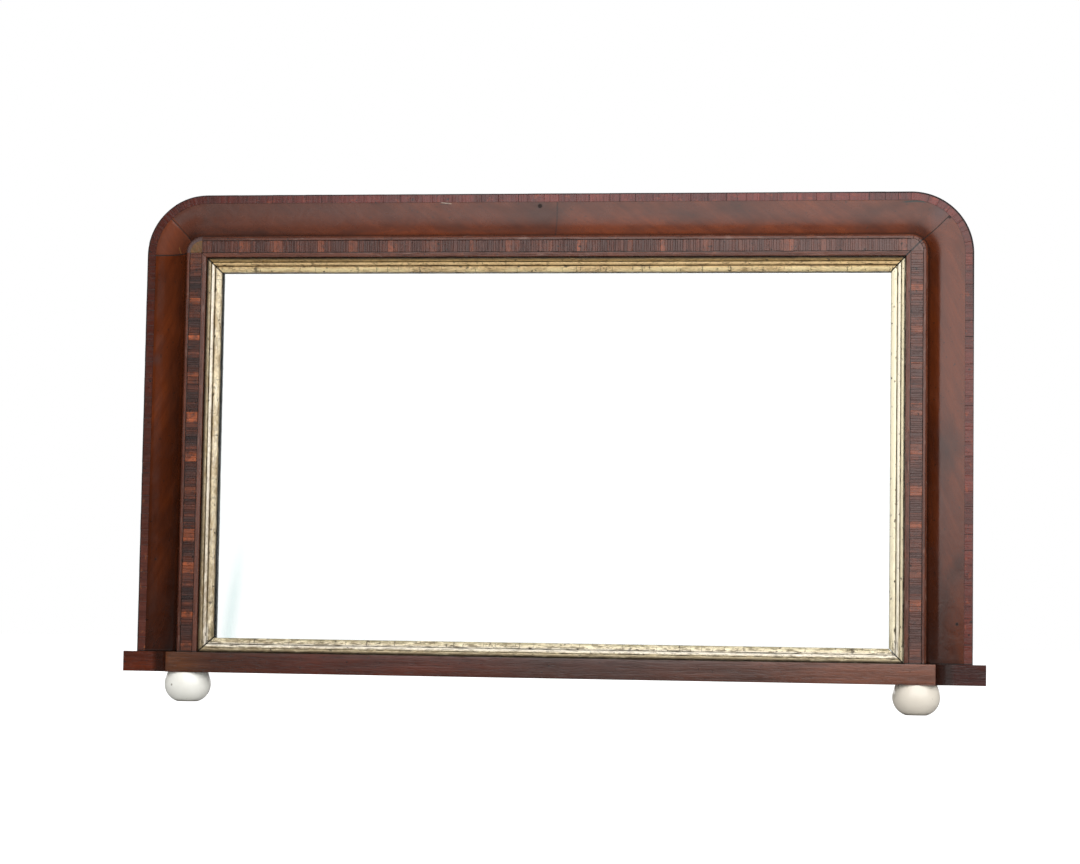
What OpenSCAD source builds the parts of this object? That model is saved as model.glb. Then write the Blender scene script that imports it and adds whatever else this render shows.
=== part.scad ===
/* [Frame] */
// Width across the outer edges of the two stiles
frame_w = 1083; // [950:1:1250]
// Height of the frame, from the top of the plinth to the top edge
frame_h = 603; // [480:1:760]
// Depth of the frame, from the face of the inlaid band to its back
frame_depth = 46; // [44:0.5:60]

/* [Moulding] */
// Width of the flat crossbanding along the outer edge
crossband_w = 11; // [8:0.5:16]
// Run of the hollow between the crossbanding and the side of the band
hollow_w = 47.5; // [44:0.5:50]
// Radius of the hollow beside the band
hollow_r = 40; // [30:1:46]
// Depth of the crossbanding behind the face of the band
edge_set_back = 24; // [20:0.5:26]
// Thickness of the sawn veneers
veneer_t = 1; // [0.6:0.1:1.5]
// Length of one piece of the crossbanding
crossband_piece = 26; // [18:1:40]
// Open joint between two pieces of veneer or crossbanding
veneer_joint = 0.2; // [0.1:0.1:0.6]

/* [Inlaid band] */
// Width of each plain border of the band
border_w = 6; // [4:0.5:7]
// Width of the row of blocks between the borders
blocks_w = 15.5; // [12:0.5:18]
// Thickness of the borders and the blocks
band_t = 3.5; // [2.5:0.1:4.5]
// Width of the sloping outer arris of the band
arris_w = 2.5; // [1:0.1:3]

/* [Gilt slip] */
// Width of the slip, from the band to the sight edge
slip_w = 19; // [17:0.5:24]
// Depth of the outer edge of the slip behind the face of the band
slip_front = 3; // [2:0.5:5]
// Depth of the sight edge of the slip behind the face of the band
slip_sight = 15; // [13:0.5:17]
// Thickness of the slip at the sight edge
slip_lip = 2; // [1.5:0.1:3]
// Radius of the two small reeds
reed_r = 1.5; // [1:0.1:1.8]
// Radius of the large reed beside the glass
big_reed_r = 2.8; // [2.2:0.1:3]
// Distances from the band to the middles of the two small reeds
reed_places = [7.2, 11]; // [5:0.1:13]
// Width of the dark quirk between the band and the slip
quirk_w = 1.5; // [0.8:0.1:2]
// Depth of the quirk
quirk_depth = 5; // [3:0.5:8]

/* [Glass] */
// Thickness of the glass plate
glass_t = 5; // [4:0.5:6]
// Width of the glass that is hidden behind the slip
glass_cover = 9; // [6:0.5:11]
// Thickness of the silvering and its backing paint
silver_t = 0.3; // [0.2:0.1:0.5]

/* [Back] */
// Thickness of the backboards
board_t = 8; // [6:0.5:10]
// Width of the rebate that carries the backboards
board_seat = 12; // [8:0.5:16]
// Gap between two backboards
board_gap = 0.5; // [0.3:0.1:2]
// Length of one glue block behind the glass
glue_block_len = 45; // [30:1:60]
// Width of one glue block across the glass edge
glue_block_w = 13; // [12:0.5:16]
// Diameter of the nails in the backboards
nail_d = 2; // [1.6:0.1:2.5]
// Length of the nails in the backboards
nail_len = 16; // [12:1:18]
// Distance between the nails along the top of the backboards
nail_step = 120; // [80:1:130]
// Distance between the glue blocks along the top and the bottom
glue_block_step = 165; // [100:1:190]
// Diameter of the dowels in the corner joints
dowel_d = 9; // [8:0.5:10]
// Length of the dowels in the corner joints
dowel_len = 30; // [24:1:34]
// Distances from the outer edge to the middles of the dowels
dowel_places = [32, 58]; // [30:1:60]
// Distance from the back of the frame to the middles of the dowels
dowel_back = 12; // [10:0.5:13]

/* [Plinth] */
// How far each ear of the plinth stands out past the stile
ear_overhang = 16.5; // [8:0.5:30]
// Thickness of the plinth board
plinth_t = 26; // [20:0.5:34]
// How far the front block of the plinth stands out past the band on each side
block_overhang = 11.5; // [6:0.5:20]
// How far the front block stands ahead of the face of the band
block_ahead = 6; // [3:0.5:10]
// Radius of the hollow return between the block and each ear
return_r = 24.5; // [18:0.5:26]
// Diameter of the screws that hold the plinth to the frame
plinth_screw_d = 5; // [4:0.5:6]
// Length of the screws that hold the plinth to the stiles
stile_screw_len = 52; // [44:1:60]
// Distance between the screws along the bottom rail
rail_screw_step = 200; // [150:1:230]
// Wood left above the tips of the screws in the bottom rail
rail_screw_cover = 2; // [1:0.5:4]

/* [Feet] */
// Height of each foot
foot_h = 38; // [30:0.5:50]
// Largest diameter of each foot
foot_d = 60; // [50:0.5:70]
// Diameter of the top of each foot
foot_top_d = 52; // [44:0.5:58]
// Diameter of the flat that each foot stands on
foot_flat_d = 26; // [24:0.5:34]
// Height of the widest ring of a foot above the ground
foot_wide_z = 22.5; // [16:0.5:26]
// Distance from the end of the front block to the centre of each foot
foot_inset = 23.5; // [20:0.5:60]
// Depth of the foot centres behind the face of the band
foot_v = 21; // [16:0.5:28]
// Diameter of the screw through each foot
foot_screw_d = 6; // [5:0.5:8]
// Diameter of the counterbore under each foot
foot_counterbore_d = 15; // [14:0.5:17]
// Depth of the counterbore under each foot
foot_counterbore_h = 12; // [8:0.5:16]
// Length of the foot screws inside the plinth
foot_screw_grip = 18; // [12:0.5:19]

/* [Hangers] */
// Width of the hanger plates
plate_w = 18; // [16:1:24]
// Width of the knuckles that hold the rings
knuckle_w = 16; // [12:0.5:16]
// Length of the hanger plates below their knuckles
plate_len = 52; // [48:1:70]
// Thickness of the hanger plates and the walls of their knuckles
plate_t = 1.5; // [1.2:0.1:2]
// Diameter of the ring wire
ring_wire_d = 4; // [3:0.5:5]
// Inner width of each ring
ring_inner_w = 28; // [26:1:36]
// Straight length of the legs of each ring
ring_leg = 8; // [5:0.5:14]
// Height of the ring axes above the top of the plinth
ring_axis_h = 420; // [300:1:460]
// Distance from the outer edge of a stile to the middle of its hanger
hanger_inset = 37; // [30:0.5:50]
// Diameter of the hanger screws
hanger_screw_d = 4; // [3:0.5:4.5]
// Length of the hanger screws under their heads
hanger_screw_len = 22; // [14:1:23]
// Distances from the ring axis down to the two hanger screws
hanger_screw_places = [13, 42]; // [12:1:46]

/* [Hidden] */
// Clearance round screws, nails and dowels in their holes
fit = 0.1;
// Clearance round the ring wire in its knuckle
swing = 0.3;
// Extra length that a cutting shape has past a face
past = 1;
// Shortest block that the end of a row keeps
least_block = 0.5;

band_u = crossband_w + hollow_w;
inner_u = band_u + 2 * border_w + blocks_w;
corner_r = inner_u - border_w;
half_w = frame_w / 2;
plinth_z = foot_h;
frame_z = plinth_z + plinth_t;
top_z = frame_z + frame_h;
centre_x = half_w - corner_r;
centre_z = top_z - corner_r;
inner_x = half_w - inner_u;
inner_z = top_z - inner_u;

joint_a = veneer_joint / corner_r * 180 / PI;
hollow_drop = edge_set_back - band_t;
flat_u = band_u - sqrt(pow(hollow_r, 2) - pow(hollow_r - hollow_drop, 2));
hollow_v = edge_set_back - hollow_r;

glass_v = slip_sight + slip_lip;
silver_v = glass_v + glass_t;
back_of_glass = silver_v + silver_t;
glass_half_w = inner_x - slip_w + glass_cover;
glass_bottom = frame_z + slip_w - glass_cover;
glass_top = inner_z - slip_w + glass_cover;
board_v = frame_depth - board_t;
seat_u = inner_u - board_seat;
board_half_w = half_w - seat_u;
board_top = top_z - seat_u;
board_count = 4;
board_h = (board_top - glass_bottom) / board_count;

half_plinth = half_w + ear_overhang;
half_block = half_w - band_u + block_overhang;
block_v = -block_ahead;
ear_v = block_v + return_r;
return_x = half_block + return_r;
stile_screw_x = half_w - (flat_u + band_u) / 2;
plinth_screw_v = (glass_v + frame_depth) / 2;
rail_screw_len = plinth_t + glass_bottom - frame_z - rail_screw_cover;
foot_x = half_block - foot_inset;

foot_upper_r = (pow(foot_h - foot_wide_z, 2) + pow((foot_d - foot_top_d) / 2, 2)) / (foot_d - foot_top_d);
foot_lower_r = (pow(foot_wide_z, 2) + pow((foot_d - foot_flat_d) / 2, 2)) / (foot_d - foot_flat_d);
foot_screw_head_d = 2 * foot_screw_d;
foot_screw_head_h = 0.7 * foot_screw_d;
foot_screw_len = foot_h - foot_counterbore_h + foot_screw_grip;

knuckle_r = ring_wire_d / 2 + swing + plate_t;
ring_v = frame_depth + knuckle_r;
ring_z = frame_z + ring_axis_h;
ring_x = half_w - hanger_inset;
ring_r = (ring_inner_w + ring_wire_d) / 2;

front_v = min(block_v, foot_v - foot_d / 2);
back_v = max(frame_depth + 2 * knuckle_r, foot_v + foot_d / 2);
mid_v = (front_v + back_v) / 2;

// The blocks follow two short cycles, which gives an irregular row
block_lengths = [12, 8, 16, 9, 7, 13, 18, 8, 11, 15, 7];
block_woods = [0, 2, 1, 2, 0, 2, 1, 2, 2];
cycle_len = run_sum(block_lengths, len(block_lengths));

function run_sum(list, count) = count == 0 ? 0 : list[count - 1] + run_sum(list, count - 1);
function block_start(n) = floor(n / len(block_lengths)) * cycle_len
    + run_sum(block_lengths, n % len(block_lengths));
function block_wood(n) = block_woods[n % len(block_woods)];

// Sections lie in a plane where x is the distance in from the outer edge
// and y is the depth behind the face of the band.

module core_section() {
    difference() {
        translate([0, band_t]) square([inner_u, frame_depth - band_t]);
        translate([-past, -past]) square([flat_u + past, edge_set_back + veneer_t + past]);
        intersection() {
            translate([flat_u, hollow_v]) circle(hollow_r + veneer_t, $fn = 96);
            translate([flat_u, hollow_v]) square([band_u - flat_u, 2 * hollow_r]);
        }
    }
}

module hollow_section() {
    translate([crossband_w, edge_set_back]) square([flat_u - crossband_w, veneer_t]);
    intersection() {
        difference() {
            translate([flat_u, hollow_v]) circle(hollow_r + veneer_t, $fn = 96);
            translate([flat_u, hollow_v]) circle(hollow_r, $fn = 96);
        }
        translate([flat_u, 0]) square([band_u - flat_u, edge_set_back + veneer_t]);
    }
}

module crossband_section() {
    translate([0, edge_set_back]) square([crossband_w, veneer_t]);
}

module outer_border_section() {
    polygon([
        [band_u, band_t],
        [band_u + arris_w, 0],
        [band_u + border_w, 0],
        [band_u + border_w, band_t]
    ]);
}

module inner_border_section() {
    translate([corner_r, 0]) square([border_w, band_t]);
}

// Places for the sections: along a stile, along the top, and round a corner.

module along_stile(from_z, to_z) {
    translate([-half_w, -mid_v, from_z]) linear_extrude(to_z - from_z) children();
}

module along_top(from_x, to_x) {
    translate([from_x, -mid_v, top_z]) rotate([0, 90, 0]) linear_extrude(to_x - from_x) children();
}

module round_corner(from_a, to_a) {
    translate([centre_x, -mid_v, centre_z]) rotate([90, 0, 0]) rotate([0, 0, from_a])
        rotate_extrude(angle = to_a - from_a, $fn = 128) intersection() {
            translate([corner_r, 0]) rotate(180) children();
            translate([0, -2 * frame_depth]) square([corner_r, 3 * frame_depth]);
        }
}

module flip() {
    mirror([1, 0, 0]) children();
}

module front_plate(outline_v, thickness) {
    translate([0, outline_v - mid_v + thickness, 0]) rotate([90, 0, 0])
        linear_extrude(thickness) children();
}

// Zones of the front view, which the mitres of the band bound.

module top_zone() {
    reach = inner_u + past;
    polygon([
        [-inner_x, inner_z],
        [inner_x, inner_z],
        [inner_x + reach, inner_z + reach],
        [-inner_x - reach, inner_z + reach]
    ]);
}

module stile_zone() {
    reach = inner_u + past;
    polygon([
        [-inner_x, frame_z],
        [-inner_x, inner_z],
        [-inner_x - reach, inner_z + reach],
        [-inner_x - reach, frame_z]
    ]);
}

module board_space() {
    translate([-board_half_w, board_v - mid_v, glass_bottom])
        cube([2 * board_half_w, board_t + past, board_top - glass_bottom]);
}

// Dowels lie across the two joints of each corner block.

module corner_dowels_at(grow) {
    long = dowel_len + 2 * grow;
    y = frame_depth - dowel_back - mid_v;
    for (u = dowel_places) {
        translate([-half_w + u, y, centre_z - long / 2])
            cylinder(d = dowel_d + 2 * grow, h = long, $fn = 48);
        translate([-centre_x - long / 2, y, top_z - u])
            rotate([0, 90, 0]) cylinder(d = dowel_d + 2 * grow, h = long, $fn = 48);
    }
}

module nail_at(x, z, grow) {
    translate([x, frame_depth - mid_v + grow, z]) rotate([90, 0, 0])
        cylinder(d = nail_d + 2 * grow, h = nail_len + 2 * grow, $fn = 24);
}

module nails_at(grow) {
    for (quarter = [0.25:0.5:board_count]) {
        for (side = [-1, 1]) {
            nail_at(side * (inner_x + board_seat / 2), glass_bottom + quarter * board_h, grow);
        }
    }
    for (n = [-3:3]) {
        nail_at(n * nail_step, inner_z + board_seat / 2, grow);
    }
}

module plinth_screw(x, length, grow) {
    translate([x, plinth_screw_v - mid_v, plinth_z - grow]) {
        cylinder(d = 2 * plinth_screw_d + 2 * grow, h = plinth_screw_d / 2 + 2 * grow, $fn = 48);
        cylinder(d = plinth_screw_d + 2 * grow, h = length + 2 * grow, $fn = 48);
    }
}

module plinth_screws_at(grow) {
    for (side = [-1, 1]) plinth_screw(side * stile_screw_x, stile_screw_len, grow);
    for (n = [-1.5:1.5]) plinth_screw(n * rail_screw_step, rail_screw_len, grow);
}

module hanger_shanks_at(grow) {
    for (down = hanger_screw_places) {
        translate([-ring_x, frame_depth + plate_t - mid_v + grow, ring_z - down]) rotate([90, 0, 0])
            cylinder(d = hanger_screw_d + 2 * grow, h = hanger_screw_len + 2 * grow, $fn = 32);
    }
}

// Pine ground frame

module left_stile() {
    color("burlywood") difference() {
        along_stile(frame_z, centre_z) core_section();
        board_space();
        corner_dowels_at(fit);
        nails_at(fit);
        plinth_screws_at(fit);
        hanger_shanks_at(fit);
    }
}

module right_stile() {
    flip() left_stile();
}

module top_rail() {
    color("burlywood") difference() {
        along_top(-centre_x, centre_x) core_section();
        for (side = [0, 1]) mirror([side, 0, 0]) {
            translate([inner_x, -past - mid_v, inner_z - past])
                cube([inner_u, frame_depth + 2 * past, centre_z - inner_z + past]);
            corner_dowels_at(fit);
        }
        board_space();
        nails_at(fit);
    }
}

module left_corner_block() {
    color("burlywood") difference() {
        flip() round_corner(0, 90) core_section();
        board_space();
        corner_dowels_at(fit);
    }
}

module right_corner_block() {
    flip() left_corner_block();
}

module corner_dowels() {
    color("tan") for (side = [0, 1]) mirror([side, 0, 0]) corner_dowels_at(0);
}

module bottom_rail() {
    color("burlywood") difference() {
        translate([-inner_x, glass_v - mid_v, frame_z])
            cube([2 * inner_x, frame_depth - glass_v, glass_bottom - frame_z]);
        plinth_screws_at(fit);
    }
}

// Veneers of the frame

module left_hollow_veneer() {
    color("saddlebrown") along_stile(frame_z, centre_z) hollow_section();
}

module left_corner_hollow_veneer() {
    color("sienna") flip() round_corner(joint_a, 45) hollow_section();
}

module top_hollow_veneer() {
    color("rosybrown") {
        along_top(-centre_x, centre_x) hollow_section();
        for (side = [0, 1]) mirror([side, 0, 0]) round_corner(45, 90 - joint_a) hollow_section();
    }
}

module right_hollow_veneer() {
    color("sienna") {
        flip() along_stile(frame_z, centre_z) hollow_section();
        round_corner(joint_a, 45) hollow_section();
    }
}

module crossband_run(length) {
    count = round(length / crossband_piece);
    for (n = [0:count - 1]) {
        translate([0, 0, n * length / count]) linear_extrude(length / count - veneer_joint)
            crossband_section();
    }
}

module crossband_bend() {
    count = max(2, round(corner_r * PI / 2 / crossband_piece));
    for (n = [0:count - 1]) {
        round_corner(n * 90 / count, (n + 1) * 90 / count - joint_a) crossband_section();
    }
}

module left_crossband() {
    color("brown") translate([-half_w, -mid_v, frame_z]) crossband_run(centre_z - frame_z);
}

module right_crossband() {
    flip() left_crossband();
}

module top_crossband() {
    color("brown") translate([-centre_x, -mid_v, top_z]) rotate([0, 90, 0]) crossband_run(2 * centre_x);
}

module right_corner_crossband() {
    color("brown") crossband_bend();
}

module left_corner_crossband() {
    flip() right_corner_crossband();
}

// Inlaid band

module left_border() {
    color("dimgray") {
        along_stile(frame_z, centre_z) outer_border_section();
        intersection() {
            along_stile(frame_z, centre_z) inner_border_section();
            front_plate(0, band_t) stile_zone();
        }
    }
}

module right_border() {
    color("dimgray") {
        flip() left_border();
        round_corner(joint_a, 45) outer_border_section();
    }
}

module top_border() {
    color("dimgray") {
        along_top(-centre_x, centre_x) outer_border_section();
        round_corner(45, 90 - joint_a) outer_border_section();
        intersection() {
            along_top(-centre_x, centre_x) inner_border_section();
            front_plate(0, band_t) top_zone();
        }
    }
}

// The rounded corners are struck from the inner corner of the row of blocks.

module block_corner() {
    intersection() {
        translate([centre_x, centre_z]) circle(blocks_w, $fn = 96);
        translate([centre_x, centre_z]) square(blocks_w);
    }
}

module left_corner_patch() {
    color("peru") {
        flip() front_plate(0, band_t) block_corner();
        flip() round_corner(0, 90) outer_border_section();
    }
}

module right_corner_blocks() {
    color("rosybrown") {
        intersection() {
            front_plate(0, band_t) block_corner();
            front_plate(0, band_t) top_zone();
        }
        flip() intersection() {
            flip() front_plate(0, band_t) block_corner();
            front_plate(0, band_t) stile_zone();
        }
    }
}

module block_row(length, first, wood) {
    offset_len = block_start(first);
    last = first + ceil(length / cycle_len + 1) * len(block_lengths);
    for (n = [first:last]) {
        from = block_start(n) - offset_len;
        to = min(length, block_start(n + 1) - offset_len);
        if (block_wood(n) == wood && to - from > least_block) {
            translate([band_u + border_w, 0, from]) cube([blocks_w, band_t, to - from]);
        }
    }
}

module stile_blocks(first, wood) {
    translate([-half_w, -mid_v, frame_z]) block_row(centre_z - frame_z, first, wood);
}

module top_blocks(wood) {
    translate([-centre_x, -mid_v, top_z]) rotate([0, 90, 0]) block_row(2 * centre_x, 5, wood);
}

module left_light_blocks() {
    color("chocolate") stile_blocks(0, 0);
}

module left_dark_blocks() {
    color("darkslategray") stile_blocks(0, 1);
}

module left_brown_blocks() {
    color("rosybrown") stile_blocks(0, 2);
}

module right_light_blocks() {
    color("chocolate") flip() stile_blocks(3, 0);
}

module right_dark_blocks() {
    color("darkslategray") flip() stile_blocks(3, 1);
}

module right_brown_blocks() {
    color("rosybrown") flip() stile_blocks(3, 2);
}

module top_light_blocks() {
    color("chocolate") top_blocks(0);
}

module top_dark_blocks() {
    color("darkslategray") top_blocks(1);
}

module top_brown_blocks() {
    color("rosybrown") top_blocks(2);
}

// Gilt slip in four mitred lengths, each a sloping strip with three reeds

module slip_strip(length) {
    slope = (slip_sight - slip_front) / slip_w;
    linear_extrude(length) polygon([
        [0, slip_front + quirk_depth],
        [0, glass_v],
        [slip_w, glass_v],
        [slip_w, slip_sight],
        [quirk_w, slip_front + quirk_w * slope]
    ]);
    for (at = reed_places) {
        translate([at, slip_front + at * slope, 0]) cylinder(r = reed_r, h = length, $fn = 48);
    }
    translate([slip_w - big_reed_r, slip_sight - big_reed_r * slope, 0])
        cylinder(r = big_reed_r, h = length, $fn = 48);
}

module slip_ring(side) {
    out_x = inner_x;
    in_x = inner_x - slip_w;
    in_top = inner_z - slip_w;
    in_low = frame_z + slip_w;
    if (side == "left") polygon([[-out_x, frame_z], [-out_x, inner_z], [-in_x, in_top], [-in_x, in_low]]);
    if (side == "top") polygon([[-out_x, inner_z], [out_x, inner_z], [in_x, in_top], [-in_x, in_top]]);
    if (side == "bottom") polygon([[-out_x, frame_z], [out_x, frame_z], [in_x, in_low], [-in_x, in_low]]);
}

module left_slip() {
    color("darkkhaki") intersection() {
        translate([-inner_x, -mid_v, frame_z]) slip_strip(inner_z - frame_z);
        front_plate(-past, glass_v + 2 * past) slip_ring("left");
    }
}

module right_slip() {
    flip() left_slip();
}

module top_slip() {
    color("darkkhaki") intersection() {
        translate([-inner_x, -mid_v, inner_z]) rotate([0, 90, 0]) slip_strip(2 * inner_x);
        front_plate(-past, glass_v + 2 * past) slip_ring("top");
    }
}

module bottom_slip() {
    color("darkkhaki") intersection() {
        translate([inner_x, -mid_v, frame_z]) rotate([0, -90, 0]) slip_strip(2 * inner_x);
        front_plate(-past, glass_v + 2 * past) slip_ring("bottom");
    }
}

// Glass and what holds it

module mirror_glass() {
    color("lightcyan") translate([-glass_half_w, glass_v - mid_v, glass_bottom])
        cube([2 * glass_half_w, glass_t, glass_top - glass_bottom]);
}

module silvering() {
    color("silver") translate([-glass_half_w, silver_v - mid_v, glass_bottom])
        cube([2 * glass_half_w, silver_t, glass_top - glass_bottom]);
}

module glue_block() {
    deep = board_v - back_of_glass - board_gap;
    translate([0, back_of_glass - mid_v, -glue_block_len / 2]) linear_extrude(glue_block_len)
        polygon([[0, 0], [glue_block_w, 0], [0, deep]]);
}

module glue_blocks() {
    color("wheat") {
        for (side = [0, 1]) mirror([side, 0, 0]) {
            for (n = [-1:1]) {
                translate([-inner_x, 0, (glass_bottom + glass_top) / 2 + n * glue_block_step]) glue_block();
            }
        }
        for (n = [-2:2]) {
            translate([n * glue_block_step, 0, inner_z]) rotate([0, 90, 0]) glue_block();
            translate([n * glue_block_step, 0, glass_bottom]) rotate([0, -90, 0]) glue_block();
        }
    }
}

module backboard(row) {
    low = row == 0 ? 0 : board_gap / 2;
    high = row == board_count - 1 ? 0 : board_gap / 2;
    color("burlywood") difference() {
        translate([-board_half_w, board_v - mid_v, glass_bottom + row * board_h + low])
            cube([2 * board_half_w, board_t, board_h - low - high]);
        nails_at(fit);
    }
}

module backboard_bottom() {
    backboard(0);
}

module backboard_lower() {
    backboard(1);
}

module backboard_upper() {
    backboard(2);
}

module backboard_top() {
    backboard(3);
}

module backboard_nails() {
    color("dimgray") nails_at(0);
}

// Plinth

module plinth_plan(front, ear, radius) {
    difference() {
        translate([-half_plinth, front]) square([2 * half_plinth, frame_depth - front]);
        for (side = [0, 1]) mirror([side, 0]) {
            translate([return_x, block_v - past]) square([half_plinth, ear - block_v + past]);
            intersection() {
                translate([return_x, block_v]) circle(radius, $fn = 96);
                translate([return_x - radius - past, block_v - past])
                    square([radius + past, radius + 2 * past]);
            }
        }
    }
}

module plinth_board() {
    color("sienna") difference() {
        translate([0, -mid_v, plinth_z]) linear_extrude(plinth_t)
            plinth_plan(block_v + veneer_t, ear_v + veneer_t, return_r + veneer_t);
        plinth_screws_at(fit);
        for (side = [-1, 1]) {
            translate([side * foot_x, foot_v - mid_v, plinth_z - past])
                cylinder(d = foot_screw_d + 2 * fit, h = foot_screw_grip + past + fit, $fn = 48);
        }
    }
}

module plinth_front_veneer() {
    color("rosybrown") translate([-half_block, block_v - mid_v, plinth_z])
        cube([2 * half_block, veneer_t, plinth_t]);
}

module left_ear_veneer() {
    color("saddlebrown") translate([0, -mid_v, plinth_z]) linear_extrude(plinth_t) intersection() {
        difference() {
            plinth_plan(block_v + veneer_t, ear_v, return_r);
            plinth_plan(block_v + veneer_t, ear_v + veneer_t, return_r + veneer_t);
        }
        translate([-half_plinth, block_v + veneer_t]) square([half_plinth, frame_depth]);
    }
}

module right_ear_veneer() {
    flip() left_ear_veneer();
}

module plinth_screws() {
    color("dimgray") plinth_screws_at(0);
}

// Feet

module foot_profile() {
    intersection() {
        union() {
            intersection() {
                translate([foot_d / 2 - foot_upper_r, foot_wide_z]) circle(foot_upper_r, $fn = 128);
                translate([0, foot_wide_z]) square([foot_d, foot_h]);
            }
            intersection() {
                translate([foot_d / 2 - foot_lower_r, foot_wide_z]) circle(foot_lower_r, $fn = 128);
                translate([0, -foot_h]) square([foot_d, foot_h + foot_wide_z]);
            }
            square([foot_flat_d / 2, foot_wide_z]);
        }
        square([foot_d, foot_h]);
    }
}

module left_foot() {
    color("ivory") translate([-foot_x, foot_v - mid_v, 0]) difference() {
        rotate_extrude($fn = 128) foot_profile();
        translate([0, 0, -past]) cylinder(d = foot_counterbore_d, h = foot_counterbore_h + past, $fn = 64);
        cylinder(d = foot_screw_d + 2 * fit, h = foot_h + past, $fn = 48);
    }
}

module right_foot() {
    flip() left_foot();
}

module foot_screws() {
    color("dimgray") for (side = [-1, 1]) {
        translate([side * foot_x, foot_v - mid_v, foot_counterbore_h]) {
            translate([0, 0, -foot_screw_head_h]) cylinder(d = foot_screw_head_d, h = foot_screw_head_h, $fn = 48);
            cylinder(d = foot_screw_d, h = foot_screw_len, $fn = 48);
        }
    }
}

// Hangers

module left_hanger_plate() {
    color("gray") difference() {
        union() {
            translate([-ring_x - plate_w / 2, frame_depth - mid_v, ring_z - plate_len])
                cube([plate_w, plate_t, plate_len]);
            translate([-ring_x - knuckle_w / 2, ring_v - mid_v, ring_z])
                rotate([0, 90, 0]) cylinder(r = knuckle_r, h = knuckle_w, $fn = 64);
        }
        translate([-ring_x - plate_w, ring_v - mid_v, ring_z])
            rotate([0, 90, 0]) cylinder(d = ring_wire_d + 2 * swing, h = 2 * plate_w, $fn = 64);
        hanger_shanks_at(fit);
    }
}

module right_hanger_plate() {
    flip() left_hanger_plate();
}

module left_ring() {
    color("silver") translate([-ring_x, ring_v - mid_v, ring_z]) {
        for (side = [-1, 1]) {
            translate([side * ring_r, 0, 0]) sphere(d = ring_wire_d, $fn = 32);
            translate([side * ring_r, 0, -ring_leg]) cylinder(d = ring_wire_d, h = ring_leg, $fn = 32);
        }
        translate([-ring_r, 0, 0]) rotate([0, 90, 0]) cylinder(d = ring_wire_d, h = 2 * ring_r, $fn = 32);
        translate([0, 0, -ring_leg]) rotate([90, 0, 0]) rotate([0, 0, 180])
            rotate_extrude(angle = 180, $fn = 96) translate([ring_r, 0]) circle(d = ring_wire_d, $fn = 32);
    }
}

module right_ring() {
    flip() left_ring();
}

module hanger_screws() {
    color("dimgray") for (side = [0, 1]) mirror([side, 0, 0]) {
        hanger_shanks_at(0);
        for (down = hanger_screw_places) {
            translate([-ring_x, frame_depth + plate_t - mid_v, ring_z - down]) rotate([-90, 0, 0])
                cylinder(d = 2 * hanger_screw_d, h = 0.4 * hanger_screw_d, $fn = 32);
        }
    }
}

left_stile();
right_stile();
top_rail();
left_corner_block();
right_corner_block();
corner_dowels();
bottom_rail();
left_hollow_veneer();
left_corner_hollow_veneer();
top_hollow_veneer();
right_hollow_veneer();
left_crossband();
right_crossband();
top_crossband();
left_corner_crossband();
right_corner_crossband();
left_border();
right_border();
top_border();
left_corner_patch();
right_corner_blocks();
left_light_blocks();
left_dark_blocks();
left_brown_blocks();
right_light_blocks();
right_dark_blocks();
right_brown_blocks();
top_light_blocks();
top_dark_blocks();
top_brown_blocks();
left_slip();
right_slip();
top_slip();
bottom_slip();
mirror_glass();
silvering();
glue_blocks();
backboard_bottom();
backboard_lower();
backboard_upper();
backboard_top();
backboard_nails();
plinth_board();
plinth_front_veneer();
left_ear_veneer();
right_ear_veneer();
plinth_screws();
left_foot();
right_foot();
foot_screws();
left_hanger_plate();
right_hanger_plate();
left_ring();
right_ring();
hanger_screws();
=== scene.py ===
"""A wide dressing table mirror: a hollow veneered frame with rounded top corners, an inlaid band of
blocks, a gilt slip round the glass, and a plinth on two white ceramic bun feet. Sizes in metres."""
from functools import partial
from math import cos, pi, radians, sin
from random import Random

import bmesh
import bpy
import numpy as np
from bpy.types import NodeSocket
from mathutils import Matrix, Vector


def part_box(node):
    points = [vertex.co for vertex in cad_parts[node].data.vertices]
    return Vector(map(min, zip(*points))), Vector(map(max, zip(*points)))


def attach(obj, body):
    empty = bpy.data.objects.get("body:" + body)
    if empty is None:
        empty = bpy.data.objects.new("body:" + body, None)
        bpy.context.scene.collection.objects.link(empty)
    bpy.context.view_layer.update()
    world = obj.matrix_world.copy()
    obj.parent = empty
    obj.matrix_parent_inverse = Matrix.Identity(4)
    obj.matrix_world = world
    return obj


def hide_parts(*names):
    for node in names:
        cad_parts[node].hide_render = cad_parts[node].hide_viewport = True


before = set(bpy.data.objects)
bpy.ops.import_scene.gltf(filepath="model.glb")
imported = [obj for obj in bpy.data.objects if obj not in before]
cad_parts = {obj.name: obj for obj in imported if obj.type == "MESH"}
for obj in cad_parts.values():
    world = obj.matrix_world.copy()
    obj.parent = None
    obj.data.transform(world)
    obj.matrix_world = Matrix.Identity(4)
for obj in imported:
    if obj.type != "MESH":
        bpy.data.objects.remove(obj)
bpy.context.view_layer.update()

scene = bpy.context.scene
scene.view_settings.view_transform = "Standard"


# The room: a plain pale floor before a white wall, one large soft screen of light on the right that
# reaches from the floor to high above the mirror, and a smaller one behind. The left stays dark, so
# the polish on the left stile shows its colour.
def add(kind, inputs=None, tree=None, **settings):
    """A shader node, its inputs linked or set, in that tree or else in the tree of a linked socket."""
    inputs = inputs or {}
    if tree is None:
        tree = next(value.id_data for value in inputs.values() if isinstance(value, NodeSocket))
    made = tree.nodes.new("ShaderNode" + kind)
    for setting, value in settings.items():
        setattr(made, setting, value)
    for socket, value in inputs.items():
        if isinstance(value, NodeSocket):
            tree.links.new(value, made.inputs[socket])
        else:
            made.inputs[socket].default_value = value
    return made


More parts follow.
